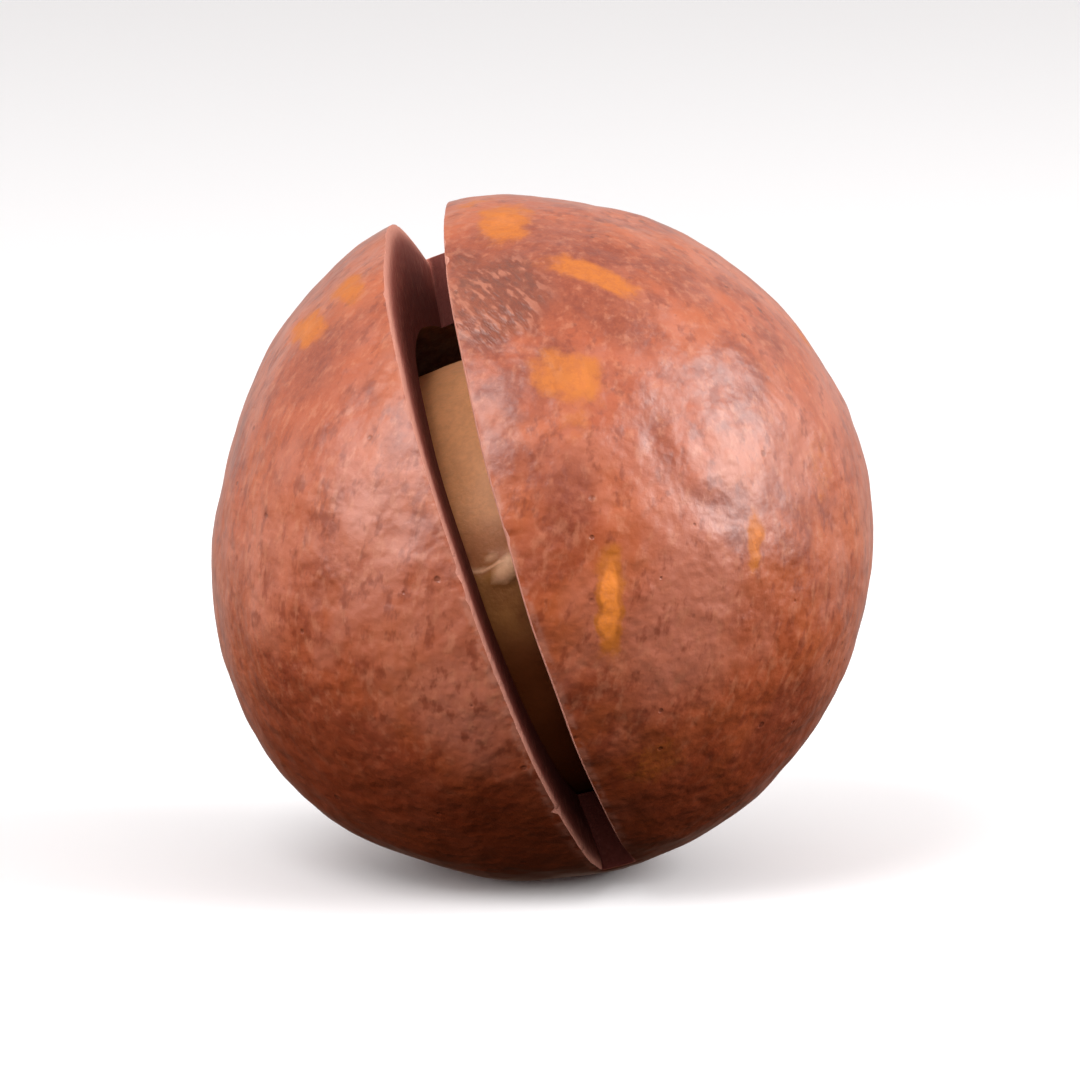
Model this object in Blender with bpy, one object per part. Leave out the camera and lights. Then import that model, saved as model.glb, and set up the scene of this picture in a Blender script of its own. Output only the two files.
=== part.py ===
"""A macadamia nut in its shell, sawn so that it can be cracked open by hand.

A hard round shell has one saw cut, which runs from low on the front over the top and a
little way down the back. It goes through the wall, and the shell has sprung open along it.
A loose kernel lies at the bottom of the hollow. Metres, +Z up, front towards -Y. The
origin is the centre of the small flat spot that the nut rests on.
"""

import math
from dataclasses import dataclass

import bmesh
import bpy
from mathutils import Matrix, Vector

MM = 0.001

NUT_RADIUS = 12.5 * MM
WALL = 2.8 * MM
FOOT_RADIUS = 2.5 * MM
KERNEL_RADIUS = 8.8 * MM
KERNEL_HALF_HEIGHT = 8.3 * MM
CLEARANCE = 0.3 * MM

# The saw cut lies in a plane. Angles along it start at its highest point and grow forwards.
CUT_NORMAL = Vector((0.946, -0.077, 0.315)).normalized()
CUT_OFFSET = -0.47 * MM
CUT_BACK_END = math.radians(-35)
CUT_FRONT_END = math.radians(163)
CUT_END_RAMP = math.radians(6)
KERF = 1.7 * MM
CUT_SPRUNG = 0.45 * MM
CUT_WIDEST = math.radians(45)

SHELL_SEGMENTS, SHELL_RINGS = 48, 32
CAVITY_SEGMENTS, CAVITY_RINGS = 40, 24
KERNEL_SEGMENTS, KERNEL_RINGS = 40, 24
CUT_ARC_STEPS = 24
CUT_RAMP_STEPS = 4
SMOOTH_BELOW = math.radians(30)

NUT_CENTRE = Vector((0, 0, math.sqrt(NUT_RADIUS**2 - FOOT_RADIUS**2)))
CAVITY_RADIUS = NUT_RADIUS - WALL
KERNEL_SINK = CAVITY_RADIUS - KERNEL_HALF_HEIGHT - CLEARANCE
KERNEL_CENTRE = NUT_CENTRE - Vector((0, 0, KERNEL_SINK))
CUT_REACH = NUT_RADIUS + 2 * MM
CUT_INSIDE = CAVITY_RADIUS - 1 * MM


@dataclass(frozen=True)
class Swell:
    """A broad rise on a round surface, or a flat where its height is negative."""

    towards: tuple[float, float, float]
    height: float  # as a share of the radius
    spread: float  # degrees from the top to where six tenths of the height are left

    def at(self, direction: Vector) -> float:
        """Returns the rise in one direction from the centre, as a share of the radius."""
        away = 1 - direction.dot(Vector(self.towards).normalized())
        return self.height * math.exp(-away / math.radians(self.spread) ** 2)


@dataclass(frozen=True)
class Finish:
    """The colour and gloss of one sub-part."""

    name: str
    colour: tuple[float, float, float, float]
    roughness: float


PEAK = Swell(towards=(-0.31, 0.17, 0.94), height=0.043, spread=18)
LEFT_FLAT = Swell(towards=(-0.97, 0.04, 0.22), height=-0.042, spread=20)
LOW_LEFT_SHOULDER = Swell(towards=(-0.64, -0.13, -0.75), height=0.032, spread=17)
LOW_RIGHT_FLAT = Swell(towards=(0.97, -0.05, -0.26), height=-0.018, spread=25)
STALK_SCAR = Swell(towards=(0.64, -0.66, 0.38), height=-0.010, spread=13)
PORE_POINT = Swell(towards=(-0.64, 0.66, -0.38), height=0.022, spread=9)
NUT_SWELLS = (PEAK, LEFT_FLAT, LOW_LEFT_SHOULDER, LOW_RIGHT_FLAT, STALK_SCAR, PORE_POINT)
THICK_WALL = Swell(towards=(-0.31, 0.17, 0.94), height=-0.09, spread=16)
KERNEL_TIP = Swell(towards=(0.45, 0.45, 0.77), height=0.09, spread=11)

SHELL_FINISH = Finish("nut_shell", colour=(0.38, 0.12, 0.065, 1), roughness=0.42)
KERNEL_FINISH = Finish("nut_kernel", colour=(0.86, 0.68, 0.38, 1), roughness=0.5)


def clear_scene() -> None:
    """Removes every object that the scene starts with."""
    for leftover in list(bpy.data.objects):
        bpy.data.objects.remove(leftover)


def new_collection(name: str) -> bpy.types.Collection:
    """Makes a collection in the scene."""
    collection = bpy.data.collections.new(name)
    bpy.context.scene.collection.children.link(collection)
    return collection


def material_of(finish: Finish) -> bpy.types.Material:
    """Makes the Principled material of one finish."""
    material = bpy.data.materials.new(finish.name)
    material.use_nodes = True
    shader = material.node_tree.nodes["Principled BSDF"]
    shader.inputs["Base Color"].default_value = finish.colour
    shader.inputs["Roughness"].default_value = finish.roughness
    return material


def nut_radius(direction: Vector) -> float:
    """Returns how far the shell's outside is from the nut's centre in one direction."""
    return NUT_RADIUS * (1 + sum(swell.at(direction) for swell in NUT_SWELLS))


def cavity_radius(direction: Vector) -> float:
    """Returns how far the hollow's wall is from the nut's centre in one direction."""
    return CAVITY_RADIUS * (1 + THICK_WALL.at(direction))


def kernel_radius(direction: Vector) -> float:
    """Returns the kernel's radius in one direction: a slightly flattened ball with a tip."""
    across = math.hypot(direction.x, direction.y) / KERNEL_RADIUS
    upright = direction.z / KERNEL_HALF_HEIGHT
    return (1 + KERNEL_TIP.at(direction)) / math.hypot(across, upright)


def round_body(name: str, segments: int, rings: int, radius_towards, centre: Vector):
    """Makes a ball whose points lie at their own radius from its centre.

    Args:
        name: The object's name.
        segments: The number of points round each ring.
        rings: The number of rows between the poles.
        radius_towards: A function from a unit direction to a radius.
        centre: Where the ball's centre lies.

    Returns:
        The new object, with its points in world coordinates.
    """
    ball = bmesh.new()
    bmesh.ops.create_uvsphere(ball, u_segments=segments, v_segments=rings, radius=1)
    for vertex in ball.verts:
        direction = vertex.co.normalized()
        vertex.co = centre + direction * radius_towards(direction)
    mesh = bpy.data.meshes.new(name)
    ball.to_mesh(mesh)
    ball.free()
    mesh.shade_smooth()
    mesh.set_sharp_from_angle(angle=SMOOTH_BELOW)
    return bpy.data.objects.new(name, mesh)


def flatten_foot(shell) -> None:
    """Presses the lowest points up to the plane that the nut rests on."""
    for vertex in shell.data.vertices:
        vertex.co.z = max(vertex.co.z, 0)


def cut_frame() -> Matrix:
    """Returns the cut's own frame: X to its highest point, Y forwards, Z across the kerf."""
    highest = (Vector((0, 0, 1)) - CUT_NORMAL * CUT_NORMAL.z).normalized()
    forwards = CUT_NORMAL.cross(highest)
    turn = Matrix((highest, forwards, CUT_NORMAL)).transposed().to_4x4()
    return Matrix.Translation(NUT_CENTRE + CUT_NORMAL * CUT_OFFSET) @ turn


def on_cut(radius: float, angle: float) -> Vector:
    """Returns a point of the cut's plane, in the cut's own frame."""
    return Vector((radius * math.cos(angle), radius * math.sin(angle), 0))


def cut_end(end: float, towards_middle: float) -> list[Vector]:
    """Returns the points of one end of the cut, from outside the nut to inside its hollow.

    Args:
        end: The angle where the cut ends on the shell's outside.
        towards_middle: 1 or -1, the way in which the angle runs to the middle of the cut.
    """
    points = [on_cut(CUT_REACH, end)]
    for step in range(CUT_RAMP_STEPS + 1):
        depth = step / CUT_RAMP_STEPS
        angle = end + towards_middle * CUT_END_RAMP * depth**1.5
        points.append(on_cut(NUT_RADIUS - WALL * depth, angle))
    points.append(on_cut(CUT_INSIDE, end + towards_middle * CUT_END_RAMP))
    return points


def cut_outline() -> list[Vector]:
    """Returns the outline of what the saw takes away, seen across the kerf."""
    step = (CUT_FRONT_END - CUT_BACK_END) / CUT_ARC_STEPS
    arc = [on_cut(CUT_REACH, CUT_BACK_END + step * i) for i in range(1, CUT_ARC_STEPS)]
    front = cut_end(CUT_FRONT_END, towards_middle=-1)
    back = cut_end(CUT_BACK_END, towards_middle=1)
    return arc + front + back[::-1]


def spring_open(cutter) -> None:
    """Widens the cutter in proportion to how far each point lies to the sprung side."""
    widest = on_cut(1, CUT_WIDEST)
    for vertex in cutter.data.vertices:
        share = vertex.co.dot(widest) / NUT_RADIUS
        vertex.co.z *= 1 + share * CUT_SPRUNG / KERF


def saw_cut():
    """Makes the cutter of the saw cut: its outline, as thick as the kerf, in the cut's plane."""
    curve = bpy.data.curves.new("saw_cut_outline", "CURVE")
    curve.dimensions = "2D"
    curve.fill_mode = "BOTH"
    curve.extrude = KERF / 2
    points = cut_outline()
    spline = curve.splines.new("POLY")
    spline.points.add(len(points) - 1)
    for placed, point in zip(spline.points, points):
        placed.co = (*point, 1)
    spline.use_cyclic_u = True
    return spline_to_mesh(curve, "saw_cut", cut_frame())


def spline_to_mesh(curve, name: str, frame: Matrix):
    """Turns a filled curve into a closed mesh object in one frame, and removes the curve."""
    outline = bpy.data.objects.new(curve.name, curve)
    bpy.context.scene.collection.objects.link(outline)
    graph = bpy.context.evaluated_depsgraph_get()
    mesh = bpy.data.meshes.new_from_object(outline.evaluated_get(graph))
    mesh.name = name
    bpy.data.objects.remove(outline)
    solid = bmesh.new()
    solid.from_mesh(mesh)
    bmesh.ops.remove_doubles(solid, verts=solid.verts, dist=0.001 * MM)
    solid.to_mesh(mesh)
    solid.free()
    made = bpy.data.objects.new(name, mesh)
    made.matrix_world = frame
    return made


def cut_away(body, cutter, cutters) -> None:
    """Subtracts a cutter from a body and hides the cutter with its kind."""
    cutters.objects.link(cutter)
    cutter.hide_render = True
    cutter.display_type = "WIRE"
    cut = body.modifiers.new(cutter.name, "BOOLEAN")
    cut.operation = "DIFFERENCE"
    cut.solver = "EXACT"
    cut.object = cutter


def make_shell(parts, cutters):
    """Makes the shell: round, with a flat foot, hollow, and sawn through on one side."""
    shell = round_body("shell", SHELL_SEGMENTS, SHELL_RINGS, nut_radius, NUT_CENTRE)
    flatten_foot(shell)
    shell.data.materials.append(material_of(SHELL_FINISH))
    parts.objects.link(shell)
    cavity = round_body(
        "cavity", CAVITY_SEGMENTS, CAVITY_RINGS, cavity_radius, NUT_CENTRE
    )
    cut_away(shell, cavity, cutters)
    sawn = saw_cut()
    spring_open(sawn)
    cut_away(shell, sawn, cutters)
    return shell


def make_kernel(parts):
    """Makes the loose kernel, which lies at the bottom of the hollow."""
    kernel = round_body(
        "kernel", KERNEL_SEGMENTS, KERNEL_RINGS, kernel_radius, KERNEL_CENTRE
    )
    kernel.data.materials.append(material_of(KERNEL_FINISH))
    parts.objects.link(kernel)
    return kernel


def main() -> None:
    """Builds the nut in an empty scene."""
    clear_scene()
    parts = new_collection("macadamia_nut")
    cutters = new_collection("cutters")
    cutters.hide_render = True
    make_shell(parts, cutters)
    make_kernel(parts)


main()
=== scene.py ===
"""The looks of a macadamia nut in its sawn shell.

Two pieces stand in for the two solids of the frame. The shell is one closed surface: its
skin, the two faces that the saw left, the ramps at the cut's ends and the lining of the
hollow. The kernel lies loose inside it. Lengths are metres, +Z is up and the front is -Y.
"""

import logging
import math
from dataclasses import dataclass, field
from enum import Enum

import bpy
import numpy as np
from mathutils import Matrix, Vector


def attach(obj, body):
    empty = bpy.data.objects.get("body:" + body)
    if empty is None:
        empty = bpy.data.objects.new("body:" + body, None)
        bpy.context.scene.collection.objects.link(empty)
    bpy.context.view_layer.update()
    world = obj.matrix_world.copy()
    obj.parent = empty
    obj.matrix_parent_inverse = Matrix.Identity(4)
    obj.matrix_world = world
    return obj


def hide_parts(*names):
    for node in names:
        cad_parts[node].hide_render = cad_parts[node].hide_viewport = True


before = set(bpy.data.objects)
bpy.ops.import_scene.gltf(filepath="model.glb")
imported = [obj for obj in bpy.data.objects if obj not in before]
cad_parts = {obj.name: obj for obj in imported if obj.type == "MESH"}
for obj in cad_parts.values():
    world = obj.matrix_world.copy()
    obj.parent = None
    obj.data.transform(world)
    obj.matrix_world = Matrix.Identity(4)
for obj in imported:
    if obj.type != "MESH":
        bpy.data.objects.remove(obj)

Array = np.ndarray
Triple = tuple[float, float, float]
Colour = Triple
Material = bpy.types.Material
Socket = bpy.types.NodeSocket
Feed = float | Colour | Socket
MM = 0.001
LOG = logging.getLogger("macadamia")


def unit(vectors: Array) -> Array:
    """Scales each vector of an array to length one.

    Args:
        vectors: An array whose last axis holds x, y and z.

    Returns:
        The unit vectors, in an array of the same shape.
    """
    vectors = np.asarray(vectors, float)
    return vectors / np.linalg.norm(vectors, axis=-1, keepdims=True)


def soft_noise(points: Array, wavelength: float, seed: int, waves: int = 28) -> Array:
    """Gives smooth noise: the sum of plane waves in random directions.

    Each wave is the sine of the point's distance along its direction, as a share of a
    wavelength that differs a little from wave to wave, plus a random phase.

    Args:
        points: Places, in metres, with x, y and z on the last axis.
        wavelength: The middle distance between two crests, in metres.
        seed: The number that settles the directions and phases.
        waves: How many waves are added.

    Returns:
        Noise with a mean of 0 and a spread of about 1, one value for each place.
    """
    draw = np.random.default_rng(seed)
    towards = unit(draw.normal(size=(waves, 3)))
    lengths = wavelength * draw.uniform(0.75, 1.35, waves)
    phases = draw.uniform(0, 2 * np.pi, waves)
    turns = points @ (2 * np.pi * towards / lengths[:, None]).T
    return np.sin(turns + phases).sum(-1) * math.sqrt(2 / waves)


def ramp(values: Array, low: float, high: float) -> Array:
    """Rises smoothly from 0 at one value to 1 at another: 3s^2 - 2s^3, s the share gone."""
    share = np.clip((values - low) / (high - low), 0, 1)
    return share**2 * (3 - 2 * share)


def grid_faces(hole: Array, start: int = 0, inwards: bool = False) -> Array:
    """Joins the points of a grid that goes round in columns and from pole to pole in rows.

    All points of the first row stand for one pole, and all of the last row for the other,
    so the faces there are triangles, whose last corner is repeated.

    Args:
        hole: One value for each face, in rows and columns: True where it is left out.
        start: The number of the grid's first point in the whole mesh.
        inwards: True where the faces look at the grid's middle.

    Returns:
        Four corners a face.
    """
    rows, columns = hole.shape
    row, column = np.nonzero(~hole)
    after = (column + 1) % columns
    corners = [row * columns + column, row * columns + after]
    corners += [(row + 1) * columns + after, (row + 1) * columns + column]
    faces = start + np.stack(corners, -1)
    last = start + rows * columns
    faces = np.where(faces < start + columns, start, faces)
    faces = np.where(faces >= last, last, faces)
    faces = faces[:, ::-1] if inwards else faces
    equal = faces[:, :1] == faces[:, 1:2]
    return np.where(equal, np.roll(faces, 2, axis=1), faces)


@dataclass(frozen=True)
class Swell:
    """A broad rise on a round body, or a flat where its height is negative."""

    towards: Triple
    height: float
    spread: float

    def at(self, directions: Array) -> Array:
        """Gives the rise as a share of the radius.

        It is the height times e to the power of minus the one-minus-cosine of the angle
        to the swell's middle over the square of its spread.

        Args:
            directions: Unit vectors from the body's centre.

        Returns:
            One rise for each direction.
        """
        away = 1 - directions @ unit(self.towards)
        return self.height * np.exp(-away / math.radians(self.spread) ** 2)


@dataclass(frozen=True)
class NutForm:
    """The round forms of the nut: the shell's outside, its hollow and the kernel."""

    radius: float = 12.5 * MM
    wall: float = 2.8 * MM
    foot: float = 2.5 * MM
    kernel_across: float = 8.8 * MM
    kernel_upright: float = 8.3 * MM
    clearance: float = 0.3 * MM
    swells: tuple[Swell, ...] = (
        Swell((-0.31, 0.17, 0.94), 0.043, 18),
        Swell((-0.97, 0.04, 0.22), -0.042, 20),
        Swell((-0.64, -0.13, -0.75), 0.032, 17),
        Swell((0.97, -0.05, -0.26), -0.018, 25),
        Swell((0.64, -0.66, 0.38), -0.010, 13),
        Swell((-0.64, 0.66, -0.38), 0.022, 9),
    )
    thick_wall: Swell = Swell((-0.31, 0.17, 0.94), -0.09, 16)
    kernel_tip: Swell = Swell((0.45, 0.45, 0.77), 0.09, 11)

    @property
    def centre(self) -> Array:
        """The nut's centre, above the flat spot that it rests on."""
        return np.array([0, 0, math.sqrt(self.radius**2 - self.foot**2)])

    @property
    def cavity(self) -> float:
        """The radius of the hollow."""
        return self.radius - self.wall

    @property
    def kernel_centre(self) -> Array:
        """The kernel's centre, where it has sunk to the bottom of the hollow."""
        sunk = self.cavity - self.kernel_upright - self.clearance
        return self.centre - [0, 0, sunk]

    def outside(self, directions: Array) -> Array:
        """Gives the shell's outer radius: the nut's radius times one plus its swells."""
        return self.radius * (1 + sum(swell.at(directions) for swell in self.swells))

    def inside(self, directions: Array) -> Array:
        """Gives the hollow's radius: a ball, less where the wall is thick."""
        return self.cavity * (1 + self.thick_wall.at(directions))

    def kernel(self, directions: Array) -> Array:
        """Gives the kernel's radius: that of a slightly flat ball, with a tip.

        Args:
            directions: Unit vectors from the kernel's centre.

        Returns:
            One over the root of the squared shares across and upright, times the tip.
        """
        across = np.hypot(directions[..., 0], directions[..., 1]) / self.kernel_across
        upright = directions[..., 2] / self.kernel_upright
        return (1 + self.kernel_tip.at(directions)) / np.hypot(across, upright)


@dataclass(frozen=True)
class SawCut:
    """The slot that the saw left. Angles start at the cut's highest point, forwards."""

    normal: Triple = (0.946, -0.077, 0.315)
    offset: float = -0.545 * MM
    back_end: float = math.radians(-33)
    front_end: float = math.radians(163)
    end_ramp: float = math.radians(6)
    kerf: float = 1.60 * MM
    sprung: float = 0.6 * MM
    widest: float = math.radians(25)
    nut: float = 12.5 * MM
    bevel: float = 0.10 * MM
    chips: float = 0.035 * MM
    bevel_depth: float = 0.12
    wander: float = 0.022 * MM

    def axes(self) -> Array:
        """Gives the cut's frame as rows: to its highest point, forwards, across the kerf."""
        across = unit(self.normal)
        highest = unit(np.array([0, 0, 1]) - across * across[2])
        return np.stack([highest, np.cross(across, highest), across])

    def ends(self, depth: float) -> tuple[float, float]:
        """Gives the angles of the cut's two ends at one depth in the wall.

        Args:
            depth: 0 on the shell's outside and 1 on its inside.

        Returns:
            The back and the front end. Each comes in by the ramp times depth to the 1.5.
        """
        inwards = self.end_ramp * depth**1.5
        return self.back_end + inwards, self.front_end - inwards

    def half_kerf(self, angle: Array, reach: Array, depth: float, side: int) -> Array:
        """Gives half the kerf's width.

        It is half of: the kerf, plus what the shell has sprung open, which grows with the
        distance towards the widest side. The saw's wander and, near the skin, the bevel
        with its chips are added.

        Args:
            angle: The angle along the cut, one for each place.
            reach: The distance from the cut's centre.
            depth: 0 on the shell's outside and 1 on its inside.
            side: -1 for the left half and 1 for the right half.

        Returns:
            One half width for each place.
        """
        sprung = self.sprung * reach * np.cos(angle - self.widest) / self.nut
        rim = np.stack([np.cos(angle), np.sin(angle), np.full_like(angle, side)], -1)
        rim *= self.nut
        wander = self.wander * soft_noise(rim, 7 * MM, seed=11 + side)
        crumbs = np.clip(soft_noise(rim, 0.6 * MM, seed=31 + side), 0, None) ** 2
        patchy = ramp(soft_noise(rim, 5 * MM, seed=41 + side), -1, 1.5)
        flare = max(0.0, 1 - depth / self.bevel_depth) ** 1.6
        chipped = self.bevel + self.chips * crumbs * patchy
        return (self.kerf + sprung) / 2 + wander + flare * chipped


@dataclass(frozen=True)
class Scuff:
    """A pale orange scuff on the skin, where the outermost layer has worn off."""

    towards: Triple
    length: float
    width: float
    lean: float
    strength: float = 1.0

    def mask(self, points: Array) -> Array:
        """Gives how worn the skin is.

        The distance is taken along and across the scuff's own direction, each as a share
        of the half length and the half width. The mask is the scuff's strength times e to
        the power of minus seven tenths of the sum of their cubes.

        Args:
            points: Places on the skin, from the nut's centre.

        Returns:
            One value for each place, half the strength at the scuff's edge.
        """
        middle = unit(self.towards)
        up = unit(np.array([0, 0, 1]) - middle * middle[2])
        aside = np.cross(up, middle)
        lean = math.radians(self.lean)
        along = up * math.cos(lean) + aside * math.sin(lean)
        over = np.cross(along, middle)
        directions = unit(points)
        size = np.linalg.norm(points, axis=-1)
        shares = np.stack(
            [
                directions @ along * size / (self.length / 2),
                directions @ over * size / (self.width / 2),
                np.where(directions @ middle > 0, 0, 9),
            ],
            -1,
        )
        return self.strength * np.exp(-0.7 * (np.abs(shares) ** 3).sum(-1))


class Surface(Enum):
    """The parts of the shell's surface, in the order of its material slots."""

    SKIN = 0
    SAWN = 1
    LINING = 2


@dataclass
class MeshDraft:
    """Points, faces and masks of a piece, before they become a Blender mesh."""

    points: Array
    faces: Array
    slots: Array
    masks: dict[str, Array] = field(default_factory=dict)

    def build(self, name: str, materials: list[Material]) -> bpy.types.Object:
        """Makes the Blender object.

        Faces with a repeated last corner are triangles. Points that no face uses are
        dropped.

        Args:
            name: The object's name.
            materials: The materials, in the order of the slots.

        Returns:
            The object, linked to the scene, with its origin at the world's.
        """
        used, faces = np.unique(self.faces, return_inverse=True)
        faces = faces.reshape(self.faces.shape)
        points = self.points[used]
        counts = np.where(faces[:, 2] == faces[:, 3], 3, 4)
        keep = np.ones(faces.shape, bool)
        keep[:, 3] = counts == 4
        mesh = bpy.data.meshes.new(name)
        mesh.vertices.add(len(points))
        mesh.vertices.foreach_set("co", points.astype(np.float32).ravel())
        mesh.loops.add(int(counts.sum()))
        mesh.loops.foreach_set("vertex_index", faces[keep].astype(np.int32))
        mesh.polygons.add(len(faces))
        starts = np.concatenate([[0], np.cumsum(counts)[:-1]])
        mesh.polygons.foreach_set("loop_start", starts.astype(np.int32))
        mesh.polygons.foreach_set("material_index", self.slots.astype(np.int32))
        mesh.update(calc_edges=True)
        mesh.shade_smooth()
        for mask, values in self.masks.items():
            layer = mesh.attributes.new(mask, "FLOAT", "POINT")
            layer.data.foreach_set("value", values[used].astype(np.float32))
        for material in materials:
            mesh.materials.append(material)
        piece = bpy.data.objects.new(name, mesh)
        bpy.context.scene.collection.objects.link(piece)
        return piece


@dataclass(frozen=True)
class Layer:
    """One closed layer of the shell's wall, as a grid of rows from side to side."""

    points: Array
    left_lip: int
    right_lip: int


@dataclass
class Shell:
    """The shell, as a grid round the axis across the saw cut.

    Columns run round that axis. Rows run from the middle of the left half to the left
    lip, across the kerf and from the right lip to the middle of the right half. Where the
    cut is open, the rows across the kerf have no faces. The wall's thickness is a stack of
    such grids, of which the ones between the skin and the lining keep only the cut's rim.
    The painted light and stains are broad places on the skin: painted highlights, sheen
    and reflected haze above 0, and painted shade with a few dark stains of its own below it.
    """

    form: NutForm = NutForm()
    cut: SawCut = SawCut()
    columns: int = 372
    open_columns: int = 200
    skin_rows: int = 92
    lining_rows: int = 30
    kerf_rows: int = 9
    depths: tuple[float, ...] = (
        0, 0.012, 0.03, 0.055, 0.09, 0.15, 0.25, 0.37, 0.5, 0.63, 0.76, 0.88, 0.96, 1,
    )
    crowding: float = 1.32
    lumps: tuple[tuple[float, float], ...] = (
        (0.030 * MM, 6.5 * MM), (0.016 * MM, 2.6 * MM), (0.006 * MM, 1.1 * MM),
    )
    dent_count: int = 520
    dent_seed: int = 7
    pore_ring: float = 0.75 * MM
    pore_lift: float = 0.12 * MM
    scar_towards: Triple = (0.531, -0.724, 0.439)
    scar_ring: float = 2.75 * MM
    scar_depth: float = 0.075 * MM
    scar_lean: Triple = (-0.74, -0.16, -0.65)
    scuffs: tuple[Scuff, ...] = (
        Scuff((0.075, -0.77, 0.63), 1.8 * MM, 2.5 * MM, 8, 0.8),
        Scuff((0.115, -0.78, 0.615), 1.9 * MM, 1.5 * MM, 0, 1.0),
        Scuff((-0.104, -0.199, 0.974), 3.0 * MM, 1.7 * MM, -27),
        Scuff((0.155, -0.47, 0.87), 3.4 * MM, 1.3 * MM, 128, 0.85),
        Scuff((-0.56, -0.26, 0.79), 2.4 * MM, 1.2 * MM, -76, 0.8),
        Scuff((-0.68, -0.26, 0.68), 2.5 * MM, 1.3 * MM, -83),
        Scuff((0.205, -0.978, -0.005), 3.3 * MM, 0.84 * MM, 0, 1.6),
        Scuff((0.625, -0.77, 0.13), 2.2 * MM, 0.5 * MM, 8, 1.08),
        Scuff((0.10, -0.84, 0.50), 1.6 * MM, 1.2 * MM, 0, 0.4),
        Scuff((0.33, -0.79, -0.51), 2.6 * MM, 2.0 * MM, 50, 0.4),
        Scuff((0.84, -0.45, 0.30), 3.4 * MM, 1.6 * MM, 10, 0.35),
    )
    stray_scuffs: int = 16
    scuff_wobble: float = 0.08 * MM
    rough_towards: Triple = (-0.15, -0.55, 0.82)
    rough_spread: float = 9.5
    rim_width: float = 0.19 * MM
    rim_drop: float = 0.030 * MM
    # Painted light: the positive patches paint highlights, sheen and haze into the skin's
    # colour, the negative ones paint shade, beside a few real dark stains.
    painted_light_and_stains: tuple[Swell, ...] = (
        Swell((0.40, -0.90, -0.13), 0.8, 9),
        Swell((-0.25, -0.91, -0.33), 0.8, 9),
        Swell((0.74, -0.55, 0.38), 0.9, 6),
        Swell((0.466, -0.881, 0.082), 0.7, 5),
        Swell((0.335, -0.886, 0.32), 0.5, 5),
        Swell((-0.38, -0.906, 0.176), 0.5, 4),
        Swell((-0.03, -0.40, 0.92), -1, 9),
        Swell((0.40, -0.30, 0.85), -0.5, 6),
        Swell((-0.70, -0.488, -0.52), -0.9, 8),
        Swell((0.728, -0.478, -0.49), -0.9, 8),
        Swell((-0.66, -0.42, 0.62), -0.5, 7),
        Swell((-0.117, -0.903, 0.412), -0.6, 4),
        Swell((0.087, -0.978, 0.189), -0.4, 5),
        Swell((-0.525, -0.648, -0.551), -1, 9),
        Swell((-0.80, -0.58, 0.12), 0.5, 8),
        Swell((-0.817, -0.556, -0.154), 0.5, 6),
        Swell((-0.525, -0.814, 0.247), 0.6, 4),
        Swell((-0.35, -0.880, 0.318), -0.5, 3),
        Swell((0.09, -0.55, 0.83), -0.5, 6),
        Swell((0.247, -0.620, 0.745), -0.6, 4),
        Swell((0.685, -0.330, 0.650), -0.6, 4),
        Swell((0.093, -0.95, 0.33), -0.6, 3.5),
    )

    def angles(self, depth: float) -> Array:
        """Gives each column's angle: even along the open part and even along the rest.

        Args:
            depth: 0 for the skin and 1 for the lining.

        Returns:
            The angles, from the cut's back end through its front end and round.
        """
        back, front = self.cut.ends(depth)
        opened = np.linspace(back, front, self.open_columns + 1)
        joined = np.linspace(
            front, back + 2 * np.pi, self.columns - self.open_columns + 1
        )
        return np.concatenate([opened, joined[1:-1]])

    def radius(self, directions: Array, depth: float) -> Array:
        """Mixes the outer and inner radius by depth."""
        outer = self.form.outside(directions)
        return outer + depth * (self.form.inside(directions) - outer)

    def direction(self, angle: Array, latitude: Array) -> Array:
        """Gives unit vectors by their angle along the cut and their angle across it."""
        flat = np.cos(latitude)
        parts = [flat * np.cos(angle), flat * np.sin(angle), np.sin(latitude)]
        return np.stack(parts, -1) @ self.cut.axes()

    def lip(self, angle: Array, depth: float, side: int) -> Array:
        """Finds the latitude at which each column meets a face of the cut.

        The height over the cut's plane has to be half the kerf, so the latitude is the
        arcsine of the plane's offset plus or minus half the kerf, over the radius there,
        taken again until it settles.

        Args:
            angle: The columns' angles.
            depth: 0 for the skin and 1 for the lining.
            side: -1 for the left face and 1 for the right one.

        Returns:
            One latitude for each column.
        """
        latitude = np.zeros_like(angle)
        for _ in range(6):
            reach = self.radius(self.direction(angle, latitude), depth)
            height = self.cut.offset + side * self.cut.half_kerf(
                angle, reach, depth, side
            )
            latitude = np.arcsin(height / reach)
        return latitude

    def layer(self, depth: float, half_rows: int) -> Layer:
        """Lays the grid of one layer of the wall.

        Rows crowd together towards the lips: the share of the way from lip to pole is the
        row's share to the power of the crowding.

        Args:
            depth: 0 for the skin and 1 for the lining.
            half_rows: The number of rows from each pole to its lip.

        Returns:
            The layer, with its points from the nut's centre.
        """
        angle = self.angles(depth)
        left, right = self.lip(angle, depth, -1), self.lip(angle, depth, 1)
        share = (np.linspace(1, 0, half_rows + 1) ** self.crowding)[:, None]
        lower = left + share * (-np.pi / 2 - left)
        upper = right + share[::-1] * (np.pi / 2 - right)
        across = np.linspace(0, 1, self.kerf_rows + 1)[1:-1, None]
        middle = left + across * (right - left)
        latitude = np.concatenate([lower, middle, upper])
        directions = self.direction(np.broadcast_to(angle, latitude.shape), latitude)
        points = directions * self.radius(directions, depth)[..., None]
        return Layer(points, half_rows, half_rows + self.kerf_rows)

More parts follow.
